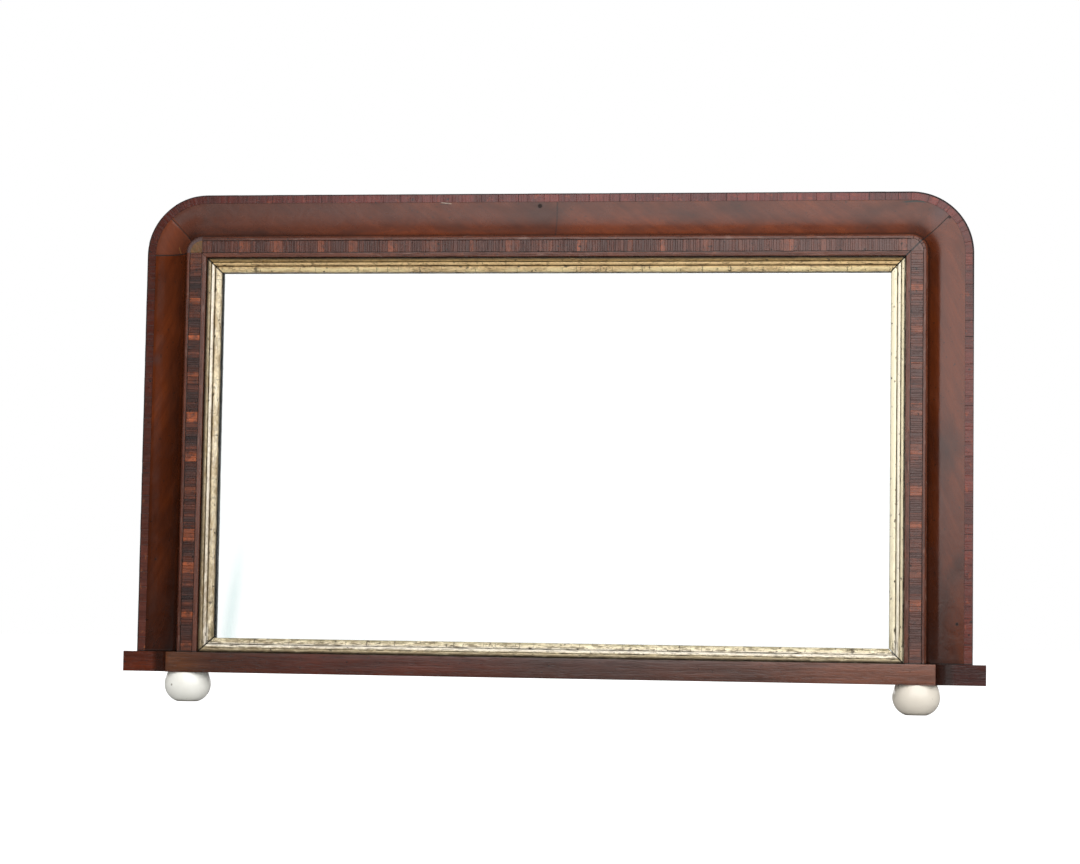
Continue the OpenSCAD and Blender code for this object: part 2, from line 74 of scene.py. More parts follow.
def calc(operation, first, *others):
    """One operation on a value alone, or on a value and each of the others in turn."""
    if not others:
        return add("Math", {0: first}, operation=operation).outputs[0]
    for other in others:
        first = add("Math", {0: first, 1: other}, operation=operation).outputs[0]
    return first


times, largest = partial(calc, "MULTIPLY"), partial(calc, "MAXIMUM")


def between(factor, low, high):
    return add("Mix", {0: factor, 2: low, 3: high}, data_type="FLOAT").outputs[0]


def spread(value, low, high, to_low=0, to_high=1):
    """Goes from to_low to to_high while the value goes from low to high."""
    return add("MapRange", {0: value, 1: low, 2: high, 3: to_low, 4: to_high}).outputs[0]


def falling(value, low, high, top=1):
    """Goes from top to nothing instead."""
    return spread(value, low, high, top, 0)


def split(vector):
    return add("SeparateXYZ", {0: vector}).outputs


def cleared(owner):
    """The emptied shader tree of a material, a lamp or a world."""
    owner.use_nodes = True
    owner.node_tree.nodes.clear()
    return owner.node_tree


white = (1, 1, 1, 1)
low_fill, high_fill, dark_front, bright_back, bright_above = 0.2, 0.95, 0.02, 0.9, 0.32
through_glass, to_camera = 1.12, 1
room = bpy.data.worlds.new("white_room")
scene.world = room
tree = cleared(room)
ray = add("LightPath", tree=tree).outputs
way = split(add("TexCoord", tree=tree).outputs["Generated"])
mirrored = largest(spread(way["Y"], 0.78, 0.93, dark_front, bright_back),
                   spread(way["Z"], 0.55, 0.95, dark_front, bright_above))
strength = between(ray["Is Glossy Ray"], spread(way["Z"], -0.2, 0.9, low_fill, high_fill), mirrored)
strength = between(ray["Is Transmission Ray"], strength, through_glass)
strength = between(ray["Is Camera Ray"], strength, to_camera)
sky = add("Background", {"Color": white, "Strength": strength})
add("OutputWorld", {"Surface": sky.outputs[0]})

floor_size = 60
bpy.ops.object.select_all(action="DESELECT")
bpy.ops.mesh.primitive_plane_add(size=floor_size, location=(0, 0, 0))
floor = bpy.context.object
floor.name = "floor"
floor_paint = bpy.data.materials.new("pale_floor")
tree = cleared(floor_paint)
ray = add("LightPath", tree=tree).outputs
seen = largest(ray["Is Camera Ray"], ray["Is Transmission Ray"])
paleness = between(seen, between(ray["Is Glossy Ray"], 0.55, 0.25), 0.85)
matt = add("BsdfPrincipled", {"Base Color": paleness, "Roughness": 0.9, "Specular IOR Level": 0.2})
glow = add("Emission", {"Color": white, "Strength": 1.5}, tree=tree)
blend = add("MixShader", {0: times(seen, 0.65), 1: matt.outputs[0], 2: glow.outputs[0]})
add("OutputMaterial", {"Surface": blend.outputs[0]})
floor.data.materials.append(floor_paint)

for name, place, aim, width, height, power in (
        ("front_lamp", (1.25, -2, 3.37), (1.25, 0, 3.37), 5.1, 6.45, 241),
        ("back_lamp", (-1.6, 3.4, 1.7), (0, 0, 0.35), 3.5, 3, 62)):
    bpy.ops.object.light_add(type="AREA", location=place)
    lamp = bpy.context.object
    lamp.name = name
    lamp.data.shape, lamp.data.size, lamp.data.size_y = "RECTANGLE", width, height
    lamp.data.energy = power
    lamp.rotation_euler = (Vector(aim) - Vector(place)).to_track_quat("-Z", "Y").to_euler()
    lamp.visible_camera = False
    lamp.visible_transmission = False

# the screen is brightest low down and fades toward its top, its left end and its very foot
way = split(add("NewGeometry", tree=cleared(bpy.data.objects["front_lamp"].data)).outputs["Parametric"])
fade = times(falling(way["Y"], 0.2, 0.95), spread(way["X"], 0.045, 0.16),
             spread(way["Y"], 0, 0.05, 0.6, 1))
fading = add("Emission", {"Strength": fade})
add("OutputLight", {"Surface": fading.outputs[0]})

# the camera stands right of the middle, as low as the plinth
bpy.ops.object.camera_add(location=(0.4386, -3.4245, 0.092),
                          rotation=(radians(94.355), radians(-0.9141), radians(7.4361)))
camera = bpy.context.object
camera.data.lens = 89.26
scene.camera = camera


# The ground frame: stiles, top rail, rounded corner blocks, dowels and bottom rail of pine. The edges
# are stained and polished like the front, the back is bare and grey brown with age.
VECTOR, COLOUR, FLOAT = "NodeSocketVector", "NodeSocketColor", "NodeSocketFloat"
plus, minus = partial(calc, "ADD"), partial(calc, "SUBTRACT")
along_z, along_x = (0, 0, 0), (0, radians(90), 0)


def group(name, inputs, outputs):
    made = bpy.data.node_groups.new(name, "ShaderNodeTree")
    for way, sockets in (("INPUT", inputs), ("OUTPUT", outputs)):
        for socket, kind in sockets.items():
            made.interface.new_socket(name=socket, in_out=way, socket_type=kind)
    return made, made.nodes.new("NodeGroupInput").outputs


def deliver(tree, **results):
    """Ends a group: each result goes to the group's output of that name."""
    gives = tree.nodes.new("NodeGroupOutput").inputs
    for name, result in results.items():
        tree.links.new(result, gives[name])


def placed(vector, scale=(1, 1, 1), turn=(0, 0, 0), shift=(0, 0, 0)):
    return add("Mapping", {"Vector": vector, "Scale": scale, "Rotation": turn, "Location": shift}).outputs[0]


def noise(vector, scale, detail=2, rough=0.5, warp=0, along=1, shift=(0, 0, 0)):
    """Soft noise, drawn out along Z where along is less than 1."""
    if along != 1 or any(shift):
        vector = placed(vector, (1, 1, along), shift=shift)
    return add("TexNoise", {"Vector": vector, "Scale": scale, "Detail": detail, "Roughness": rough,
                            "Distortion": warp}).outputs[0]


def tinted(factor, low, high, mode="MIX"):
    low, high = [colour if isinstance(colour, NodeSocket) else (*colour, 1) for colour in (low, high)]
    return add("Mix", {0: factor, 6: low, 7: high}, data_type="RGBA", blend_type=mode).outputs[2]


# wood grain: the grain runs along Z, streaks lie across X, broad figure waves through both
wood_grain, given = group(
    "wood_grain",
    {"Grain": VECTOR, "Dark": COLOUR, "Light": COLOUR, "Streaks": FLOAT, "Figure": FLOAT, "Pores": FLOAT},
    {"Colour": COLOUR, "Height": FLOAT})
fine = spread(noise(given["Grain"], given["Streaks"], 5, 0.65, 0.2, along=0.045), 0.34, 0.66)
broad = noise(given["Grain"], 26, 3, 0.55, 1.2, along=0.22, shift=(0.3, 0.1, 0.7))
colour = tinted(between(given["Figure"], fine, spread(broad, 0.3, 0.7)), given["Dark"], given["Light"])
pore = times(spread(noise(given["Grain"], 1100, along=0.05), 0.56, 0.68), given["Pores"])
deliver(wood_grain, Colour=tinted(pore, colour, given["Dark"]), Height=minus(times(fine, 0.4), pore))

# old polish: dull smears, small dark specks and fine scratches over the whole piece
old_polish, given = group(
    "old_polish", {"Vector": VECTOR, "Sheen": FLOAT, "Specks": FLOAT},
    {"Roughness": FLOAT, "Speck": FLOAT, "Height": FLOAT})
smear = noise(given["Vector"], 38, 4, 0.6, 0.6)
scratch = spread(noise(placed(given["Vector"], (1, 1, 0.08), (0, 0.6, 0)), 420), 0.63, 0.72)
rough = plus(given["Sheen"], times(spread(smear, 0.35, 0.7), 0.1), times(scratch, 0.04))
speck = spread(noise(given["Vector"], 210, 1), 0.7, 0.76)
deliver(old_polish, Roughness=rough, Speck=times(speck, given["Specks"]),
        Height=minus(smear, times(scratch, 0.03)))


def blank(name):
    """A new material and the place on the object, which its patterns start from."""
    made = bpy.data.materials.new(name)
    return made, add("TexCoord", tree=cleared(made)).outputs["Object"]


def surface(colour, rough, height, bump=0.0002, **others):
    relief = add("Bump", {"Height": height, "Strength": 0.6, "Distance": bump})
    others = {socket.replace("_", " "): value for socket, value in others.items()}
    shader = add("BsdfPrincipled", {"Base Color": colour, "Roughness": rough, "Normal": relief.outputs[0],
                                    **others})
    add("OutputMaterial", {"Surface": shader.outputs[0]})


def grain_of(vector, dark, light, streaks, figure, pores):
    return add("Group", {"Grain": vector, "Dark": (*dark, 1), "Light": (*light, 1), "Streaks": streaks,
                         "Figure": figure, "Pores": pores}, node_tree=wood_grain).outputs


def polished(colour, vector, sheen, speck, specks=0.8):
    """The colour with its specks under old polish, and the roughness and relief of that polish."""
    polish = add("Group", {"Vector": vector, "Sheen": sheen, "Specks": specks}, node_tree=old_polish).outputs
    return tinted(polish["Speck"], colour, speck), polish["Roughness"], polish["Height"]


def use(material, *nodes):
    for node in nodes:
        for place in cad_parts[node].material_slots:
            place.material = material


def ground_wood(name, turn):
    made, place = blank(name)
    along = placed(place, turn=turn)
    stained_and_shaded = grain_of(along, (0.03, 0.01, 0.005), (0.075, 0.026, 0.012), 150, 0.35, 0.5)
    bare = grain_of(along, (0.17, 0.09, 0.042), (0.37, 0.225, 0.115), 190, 0.3, 0.3)
    back = spread(plus(split(place)["Y"], times(noise(place, 60, 3), 0.004)), 0.024, 0.0254)
    smear = spread(noise(place, 11, 4, 0.6, 1), 0.45, 0.68)
    bare_colour = tinted(times(smear, 0.55), bare["Colour"], (0.1, 0.055, 0.03))
    colour = tinted(back, stained_and_shaded["Colour"], bare_colour)
    colour, rough, _ = polished(colour, place, 0.26, (0.012, 0.006, 0.004))
    surface(colour, between(back, rough, 0.72), bare["Height"], 0.0003)
    return made


use(ground_wood("stile_pine", along_z), "left_stile", "right_stile", "corner_dowels")
use(ground_wood("rail_pine", along_x), "top_rail", "bottom_rail", "left_corner_block", "right_corner_block")


# The hollow: four leaves of figured rosewood veneer, bent into the hollow and round the corners, with
# a straight joint and a mitre at the left corner and a mitre at the right one. They are laid flat
# first, X in from the outer edge and Z along the course from the left foot over the top, then bent.
half_w, sill, top, corner_r = 0.5415, 0.064, 0.667, 0.08
bend_x, bend_z = half_w - corner_r, top - corner_r
left_end = bend_z - sill
bend_end = left_end + pi / 2 * corner_r
top_end = bend_end + 2 * bend_x
far_end = top_end + pi / 2 * corner_r
course_end = far_end + left_end
left_mitre, right_mitre = (left_end + bend_end) / 2, (top_end + far_end) / 2
# in from the outer edge: the crossbanding, the flat and the band; the hollow's radius and sweep
crossband_w, flat_u, band_u, hollow_r, hollow_sweep = 0.011, 0.02358, 0.0585, 0.04, 1.0596
# back from the band's face: the middle of the whole depth, where Y is 0, and the outer edge's face
mid_v, edge_v, veneer_t = 0.0223, 0.024, 0.001
edge_y = edge_v - mid_v
old_dirt, gap_dark = (0.01, 0.006, 0.005), (0.008, 0.004, 0.003)
smallest, absolute = partial(calc, "MINIMUM"), partial(calc, "ABSOLUTE")

# the open mitres: a dark line on the slant through each corner of the frame
open_mitre, given = group("open_mitre", {"Place": VECTOR, "Half": FLOAT}, {"Mask": FLOAT})
axes = split(given["Place"])
out = minus(absolute(axes["X"]), bend_x)
past_corner = largest(minus(axes["Z"], bend_z), minus(sill - 0.006, axes["Z"]))
off = absolute(minus(out, past_corner))
deliver(open_mitre, Mask=falling(off, times(given["Half"], 0.6), given["Half"]))


def mitre_of(place, half):
    return add("Group", {"Place": place, "Half": half}, node_tree=open_mitre).outputs["Mask"]


def dyed(colour, dye):
    return tinted(1, colour, dye, "MULTIPLY")


def attribute(material, name, output="Vector"):
    return add("Attribute", tree=material.node_tree, attribute_name=name).outputs[output]


def away_from(value, middle):
    return absolute(minus(value, middle))


def gap_to(place, point):
    return add("VectorMath", {0: place, 1: point}, operation="DISTANCE").outputs["Value"]


def shade_at_foot(place, colour):
    """Painted shade in the corner where a piece meets the plinth."""
    return tinted(falling(split(place)["Z"], sill + 0.0006, sill + 0.0024, 0.9), colour, gap_dark)


def scratch_at(place, middle, turn, length, width):
    """A mask for one scratch, from its middle on the course, its turn and its size."""
    place = add("VectorMath", {0: place, 1: middle}, operation="SUBTRACT").outputs[0]
    place = split(placed(place, turn=(0, turn, 0)))
    return times(falling(absolute(place["Z"]), length * 0.35, length * 0.5),
                 falling(absolute(place["X"]), width * 0.3, width * 0.6))


def points_of(mesh):
    flat = np.empty(len(mesh.vertices) * 3)
    mesh.vertices.foreach_get("co", flat)
    return flat.reshape(-1, 3)


def move_points(mesh, points):
    mesh.vertices.foreach_set("co", np.asarray(points, dtype=float).ravel())
    mesh.update()


def bend_round(mesh):
    u, y, s = points_of(mesh).T
    r = corner_r - u
    first, second = (s - left_end) / corner_r, (s - top_end) / corner_r
    spans = [s <= left_end, s <= bend_end, s <= top_end, s <= far_end]
    x = np.select(spans, [u - half_w, -bend_x - r * np.cos(first), s - bend_end - bend_x,
                          bend_x + r * np.sin(second)], half_w - u)
    z = np.select(spans, [sill + s, bend_z + r * np.sin(first), top - u, bend_z + r * np.cos(second)],
                  bend_z - (s - far_end))
    move_points(mesh, np.column_stack((x, y, z)))


def write_down(mesh, name, values, kind="FLOAT", field="value"):
    mesh.attributes.new(name, kind, "POINT").data.foreach_set(field, np.ravel(values))


def keep_course(mesh, tone=0.5, slant=0):
    """Writes down where each point lies on the flat course, its grain and its tone, before bending."""
    u, y, s = points_of(mesh).T
    for name, turn in (("course", 0), ("grain", slant)):
        turned = np.column_stack((u * cos(turn) + s * sin(turn), y, s * cos(turn) - u * sin(turn)))
        write_down(mesh, name, turned, "FLOAT_VECTOR", "vector")
    write_down(mesh, "tone", np.full(len(u), tone))


def pick_only(*pieces):
    bpy.ops.object.select_all(action="DESELECT")
    for piece in pieces:
        piece.select_set(True)
    bpy.context.view_layer.objects.active = pieces[0]


def finish_piece(piece, material, name, body, slot, *nodes, smooth=30):
    piece.data.materials.append(material)
    piece.name = name
    piece.data.name = name
    pick_only(piece)
    bpy.ops.object.shade_smooth_by_angle(angle=radians(smooth))
    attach(piece, body)
    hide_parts(*nodes)


def sheet(columns, rows):
    """A flat grid to be shaped, and its points, which reach from -0.5 to 0.5."""
    bpy.ops.object.select_all(action="DESELECT")
    bpy.ops.mesh.primitive_grid_add(x_subdivisions=columns, y_subdivisions=rows, size=1)
    piece = bpy.context.object
    return piece, points_of(piece.data)


def thicken(piece, thickness):
    bpy.ops.object.modifier_add(type="SOLIDIFY")
    piece.modifiers[0].thickness, piece.modifiers[0].offset = thickness, -1
    bpy.ops.object.modifier_apply(modifier=piece.modifiers[0].name)


veneer, place = blank("hollow_rosewood")
course = attribute(veneer, "course")
across, _, along = split(course)
sideways, _, height = split(place)
outward = absolute(sideways)
leaf = grain_of(attribute(veneer, "grain"), (0.07, 0.012, 0.0022), (0.142, 0.028, 0.0058), 120, 0.5, 0.35)
colour = dyed(leaf["Colour"], tinted(attribute(veneer, "tone", "Fac"), (0.7, 0.7, 0.72), (1.25, 1.3, 1.3)))
cloud = noise(course, 16, 3, 0.55, 0.8, along=0.5)
colour = tinted(times(spread(cloud, 0.42, 0.68), 0.72), colour, (0.034, 0.009, 0.004))
# painted shade: the hollow darkened in its last 4 mm beside the band, where shade falls
band_shade = spread(across, band_u - 0.004, band_u, 0, 0.85)
colour = tinted(band_shade, colour, (0.012, 0.005, 0.003))
colour, rough, relief = polished(colour, course, 0.13, (0.014, 0.008, 0.006), 0.5)

# dents, each with its place on the course and its size, then soft bruises with their colour
marks = largest(*[
    falling(plus(gap_to(course, (u, edge_y, s)), times(cloud, 0.002)), size * 0.6 + 0.001, size + 0.0012)
    for u, s, size in ((0.0165, bend_end + 0.4439, 0.0042), (0.0082, bend_end + 0.8388, 0.0038),
                       (0.04, far_end + 0.328, 0.0022), (0.02, far_end + 0.472, 0.0022),
                       (0.012, far_end - 0.061, 0.003))])
colour = tinted(times(marks, 0.85), colour, old_dirt)
for u, s, size, shade in ((0.034, bend_end - 0.004, 0.014, (0.022, 0.01, 0.008)),
                          (0.015, left_end - 0.139, 0.013, (0.05, 0.03, 0.028)),
                          (0.015, top_end + 0.05, 0.022, (0.06, 0.034, 0.034))):
    gap = plus(gap_to(course, (u, edge_y, s)), times(cloud, 0.012))
    colour = tinted(falling(gap, size * 0.4, size * 1.3, 0.6), colour, shade)

# the straight joint at the left corner and a repair in the middle of the top
near_joint = smallest(away_from(along, left_end), away_from(along, bend_end + bend_x + 0.0052))
joint_line = times(falling(near_joint, 0.0006, 0.0013, 0.92),
                   spread(along, left_end + 0.01, left_end + 0.03, 1, 0.55))
colour = tinted(joint_line, colour, old_dirt)

# scratches, each with its place on the course, turn, length, width and colour
for u, s, turn, length, width, shade in (
        (0.0456, left_end + 0.0116, 0.26, 0.024, 0.0011, (0.36, 0.17, 0.045)),
        (0.0122, bend_end + 0.32, -0.12, 0.016, 0.0012, (0.3, 0.22, 0.17)),
        (0.0133, bend_end + 0.318, 0.05, 0.013, 0.001, (0.012, 0.008, 0.007)),
        (0.0126, top_end + 0.006, 0.07, 0.036, 0.0024, (0.014, 0.013, 0.009))):
    colour = tinted(scratch_at(course, (u, 0, s), turn, length, width), colour, shade)

# painted light and shade on the hollow: a painted sheen at the top left and in the left corner,
# painted shade low down and inside beside the band, painted highlights on the left stile and the top
past_mitre = spread(along, left_mitre, left_mitre + 0.004)
top_left = times(past_mitre, falling(along, bend_end + 0.08, bend_end + 0.3))
# painted sheen: a greyish purple reflection painted over the top hollow at the left
top_left_sheen = times(top_left, spread(cloud, 0.34, 0.58, 0.9, 0.35), spread(across, 0.02, 0.03, 1, 0.75),
              spread(across, 0.04, 0.048, 1, 0.25))
colour = tinted(top_left_sheen, colour, (0.062, 0.026, 0.019))
# painted sheen: the left corner leaf greyed and paled by a painted reflection
corner_sheen = times(spread(along, left_end, left_end + 0.004, 0, 0.45), minus(1, past_mitre))
colour = tinted(corner_sheen, colour, (0.115, 0.042, 0.027))
# painted shade: darker toward the foot, more on the left than on the right
toward_foot = spread(height, sill, 0.5, spread(sideways, -0.3, 0.3, 0.36, 0.62), 1.07)
# painted light: the left stile's hollow lighter from a third of its height up
glow = times(falling(sideways, -0.47, -0.45, 0.16), spread(height, 0.22, 0.4))
# painted shade: the stiles' hollows darker toward the band
inner = times(spread(outward, 0.455, 0.475), spread(across, 0.028, 0.05, 0, 0.42))
# painted light: the top hollow lighter toward the band, where it faces up
lit_top = times(falling(outward, 0.4, 0.45), spread(across, 0.03, 0.045, 0, 0.04))
# painted shade: the top left darker beside the band
shade_low = times(top_left, spread(across, 0.04, 0.05, 0, 0.45))
colour = dyed(colour, times(toward_foot, plus(1, glow), minus(1, inner), plus(1, lit_top),
                            minus(1, shade_low)))
slant = times(mitre_of(place, 0.0011), 0.8)
colour = tinted(slant, colour, gap_dark)
duller = times(past_mitre, falling(along, far_end - 0.01, far_end + 0.05),
               spread(cloud, 0.35, 0.65, 0.08, 0.17))
rough = largest(plus(rough, duller), times(largest(marks, joint_line, slant), 0.85))
surface(shade_at_foot(place, colour), rough, relief, 0.0004)


def hollow_leaf(name, start, end, tone, slant):
    seam, rim, first_row, row_step, rim_drop = 0.0003, 0.0009, 0.0035, 0.005, 0.00012
    rows = [start + seam, start + rim, *np.arange(start + first_row, end - first_row, row_step),
            end - rim, end - seam]
    columns = [crossband_w + 0.0002, crossband_w + 0.0006, 0.0155, 0.0196, flat_u]
    columns += [flat_u + hollow_r * sin(turn) for turn in np.linspace(0, hollow_sweep, 23)[1:]]
    piece, grid = sheet(len(columns) - 1, len(rows) - 1)
    u = np.interp(grid[:, 0], np.linspace(-0.5, 0.5, len(columns)), columns)
    s = np.interp(grid[:, 1], np.linspace(-0.5, 0.5, len(rows)), rows)
    sunk = np.where(u > flat_u, np.sqrt(hollow_r ** 2 - (u - flat_u) ** 2) - hollow_r, 0)
    at_rim = (u < crossband_w + 0.0004) | (s < rows[1] - 0.0003) | (s > rows[-2] + 0.0003)
    move_points(piece.data, np.column_stack((u, edge_y + sunk + rim_drop * at_rim, s)))
    thicken(piece, veneer_t)
    keep_course(piece.data, tone, slant)
    bend_round(piece.data)
    finish_piece(piece, veneer, "veneer_" + name, "frame", "hollow_rosewood", name, smooth=40)


hollow_leaf("left_hollow_veneer", 0, left_end, 0.45, radians(-28))
hollow_leaf("left_corner_hollow_veneer", left_end, left_mitre, 0.75, radians(40))
hollow_leaf("top_hollow_veneer", left_mitre, right_mitre, 0.5, radians(-38))
hollow_leaf("right_hollow_veneer", right_mitre, course_end, 0.5, radians(24))


# The crossbanding: short pieces of red veneer with their grain across, laid along the outer edge with
# thin open joints, their outer edge rubbed round. One piece is modelled, and the rest are copies.
def pick_edges(piece, test):
    """In edit mode: selects the edges whose two ends pass the test together."""
    bpy.ops.mesh.select_mode(type="EDGE")
    bpy.ops.mesh.select_all(action="DESELECT")
    for edge in bmesh.from_edit_mesh(piece.data).edges:
        edge.select_set(test([point.co for point in edge.verts]))
    bmesh.update_edit_mesh(piece.data)


def front_edge(side):
    """The test for the front edge along Z, on the left (-1) or right (1) side of a box."""
    return lambda ends: all(end.y < 0 and end.x * side > 0 for end in ends)


def box_piece(name, size, edge, test, cuts=0, steps=2):
    """A box of that size about the origin, cut into rows along Z, the edges of the test rounded."""
    bpy.ops.object.select_all(action="DESELECT")
    bpy.ops.mesh.primitive_cube_add(size=1)
    piece = bpy.context.object
    piece.name = name
    bpy.ops.transform.resize(value=size)
    bpy.ops.object.transform_apply(location=False, rotation=False, scale=True)
    bpy.ops.object.mode_set(mode="EDIT")
    if cuts:
        pick_edges(piece, lambda ends: abs(ends[0].z - ends[1].z) > size[2] / 2)
        bpy.ops.mesh.subdivide(number_cuts=cuts)
    pick_edges(piece, test)
    bpy.ops.mesh.bevel(offset=edge, segments=steps, affect="EDGES")
    bpy.ops.object.mode_set(mode="OBJECT")
    return piece


def fitted(pattern, low, high):
    """A copy of the pattern between two corners: its ends keep their shape, its middle is stretched."""
    end_share = 0.62  # beyond this share of the half size a point belongs to an end
    copy = pattern.copy()
    copy.data = pattern.data.copy()
    copy.name = "fitted"
    scene.collection.objects.link(copy)
    points = points_of(pattern.data)
    reach = np.abs(points).max(axis=0)
    low, high = np.array(low), np.array(high)
    middle, half = (low + high) / 2, (high - low) / 2
    at_end = np.abs(points) > reach * end_share
    kept, stretched = points + np.sign(points) * (half - reach), points / reach * half
    move_points(copy.data, middle + np.where(at_end, kept, stretched))
    return copy


def joined(pieces):
    pick_only(*pieces)
    if len(pieces) > 1:
        bpy.ops.object.join()
    return pieces[0]


def drop(piece):
    bpy.data.meshes.remove(piece.data)


banding, place = blank("crossband")
course = attribute(banding, "course")
sideways, _, height = split(place)
leaf = grain_of(placed(course, turn=along_x), (0.036, 0.007, 0.0035), (0.12, 0.021, 0.011), 210, 0.55, 0.5)
quiet = spread(sideways, -0.42, 0.05, 0.35, 1)
tone = between(quiet, 0.25, attribute(banding, "tone", "Fac"))
colour = dyed(leaf["Colour"], tinted(tone, (0.8, 0.78, 0.85), (1.22, 1.15, 1.12)))
fleck = spread(noise(course, 170, 3, 0.6, along=0.6), 0.6, 0.72)
colour = tinted(times(fleck, spread(height, 0.075, 0.2, 0.95, 0.4)), colour, (0.22, 0.045, 0.012))
# painted sheen: the top crossband lighter and bluer
colour = dyed(colour, tinted(spread(height, 0.6, 0.65), (1, 1, 1), (1.35, 1.35, 1.9)))
# painted shade: the crossband darker on the upper left, where less light falls
left_shade = times(falling(sideways, -0.44, -0.32, 0.45), spread(height, 0.15, 0.35))
colour = tinted(left_shade, colour, (0.03, 0.007, 0.0035))
# painted light: the crossband lighter toward the right
colour = dyed(colour, tinted(spread(sideways, 0.45, 0.52), (1, 1, 1), (1.16, 1.1, 1.12)))
# painted sheen: low on the far left the crossband is greyed and paled, higher up darker and warmer
left_sheen = tinted(spread(height, 0.2, 0.52), (1.15, 1.7, 1.95), (1, 0.92, 0.78))
colour = dyed(colour, tinted(spread(sideways, -0.5, -0.46), left_sheen, (1, 1, 1)))
# painted shade: a dark line along the rounded outer edge, thinner high up on the right
thinner = times(spread(sideways, 0.35, 0.47), spread(height, 0.42, 0.6, 0.0007, -0.0008))
edge_shade = plus(split(course)["X"], times(noise(course, 90), 0.0008), thinner)
colour = tinted(falling(edge_shade, 0.0014, 0.0022, 0.94), colour, (0.006, 0.003, 0.003))
colour, rough, _ = polished(colour, course, 0.15, (0.012, 0.006, 0.006))
piece_end = falling(attribute(banding, "rim", "Fac"), 0.0002, 0.0006)
open_end = times(piece_end, spread(noise(course, 45), 0.42, 0.6, 0.15, 0.85),
                 spread(quiet, 0.35, 1, 0.85, 1))
colour = tinted(open_end, colour, (0.01, 0.005, 0.004))
rough = largest(rough, times(piece_end, 0.75), falling(edge_shade, 0.0014, 0.0022, 0.8))
surface(shade_at_foot(place, colour), rough, leaf["Height"], 0.0003)

chance = Random(11)
strip = box_piece("crossband_pattern", (crossband_w, veneer_t, 0.024), 0.00022, front_edge(-1), cuts=4)


def crossband(name, start, end):
    joint, shortest, longest, two_left, one_left = 0.0001, 0.012, 0.027, 0.036, 0.026
    cuts = [start]
    while end - cuts[-1] > two_left:
        cuts.append(cuts[-1] + chance.uniform(shortest, longest))
    if end - cuts[-1] > one_left:
        cuts.append((cuts[-1] + end) / 2)
    pieces = []
    for low, high in zip(cuts, cuts[1:] + [end]):
        front = edge_y + chance.uniform(0, 0.00012)
        outer = chance.uniform(0, 0.0002)
        piece = fitted(strip, (outer, front, low + joint / 2),
                       (crossband_w - 0.0001, edge_y + veneer_t, high - joint / 2))
        keep_course(piece.data, chance.uniform(0.05, 0.95))
        along = points_of(piece.data)[:, 2]
        write_down(piece.data, "rim", np.minimum(along - along.min(), along.max() - along))
        bend_round(piece.data)
        pieces.append(piece)
    finish_piece(joined(pieces), banding, "pieces_of_" + name, "frame", "crossband", name, smooth=22)


ends = (0, left_end, bend_end, top_end, far_end, course_end)
for where, start, end in zip(("left", "left_corner", "top", "right_corner", "right"), ends, ends[1:]):
    crossband(where + "_crossband", start, end)
drop(strip)


# The band's borders: plain strips of stained wood on both sides of the blocks, 6 mm wide and proud of
# the hollow, the outer one with a slanted edge, the inner one mitred at the corners.
border_w, blocks_w, band_t, arris_w, inner_u = 0.006, 0.0155, 0.0035, 0.0025, 0.086
inner_x, inner_z = half_w - inner_u, top - inner_u
front_y, seat_y = -mid_v, band_t - mid_v
side_run, top_run = bend_z - sill, 2 * bend_x

edging, place = blank("band_border")
course = attribute(edging, "course")
inward = split(course)["X"]
strips = grain_of(course, (0.046, 0.0115, 0.005), (0.135, 0.037, 0.017), 420, 0.4, 0.5)
patch = spread(noise(course, 70, 3, 0.6, along=0.8), 0.6, 0.7)
colour = tinted(times(patch, 0.55), strips["Colour"], (0.16, 0.045, 0.018))
wear = spread(noise(course, 240, 3, 0.6, along=0.2, shift=(0, 0, 0.4)), 0.6, 0.7)
colour = tinted(times(wear, 0.35), colour, (0.24, 0.15, 0.12))
colour, rough, _ = polished(colour, course, 0.24, old_dirt)
beside_blocks = smallest(away_from(inward, band_u + border_w), absolute(inward))
colour = tinted(falling(beside_blocks, 0.0004, 0.001, 0.85), colour, (0.01, 0.005, 0.004))
slant = times(mitre_of(place, 0.0016), spread(split(place)["X"], 0, 0.1))
colour = tinted(slant, colour, gap_dark)
surface(shade_at_foot(place, colour), rough, strips["Height"], 0.0004)


def outer_border(start, end):
    piece = fitted(outer_strip, (band_u, front_y, start), (band_u + border_w, seat_y, end))
    points = points_of(piece.data)
    edge = (points[:, 0] < band_u + 0.0001) & (points[:, 1] < front_y + 0.0001)
    points[edge, 0] += arris_w
    move_points(piece.data, points)
    keep_course(piece.data)
    bend_round(piece.data)
    return piece


def mitre_ends(piece, length, ends, gap=0.0004):
    pick_only(piece)
    bpy.ops.object.mode_set(mode="EDIT")
    for wanted, place, way in ((ends[0], gap, -1), (ends[1], length - gap, 1)):
        if wanted:
            bpy.ops.mesh.select_all(action="SELECT")
            bpy.ops.mesh.bisect(plane_co=(0, 0, place), plane_no=(1, 0, way), use_fill=True, clear_outer=True)
    bpy.ops.object.mode_set(mode="OBJECT")


def set_down(mesh, corner, quarter):
    """Turns a strip by quarter turns about Y and sets its start on a corner: 0 left, 1 top, 2 right, 3 bottom."""
    mesh.transform(Matrix.Translation((corner[0], 0, corner[1])) @ Matrix.Rotation(pi / 2 * quarter, 4, "Y"))


def inner_border(corner, length, quarter, ends):
    piece = fitted(inner_strip, (0, front_y, 0), (border_w, seat_y, length))
    mitre_ends(piece, length, ends)
    keep_course(piece.data)
    set_down(piece.data, corner, quarter)
    return piece


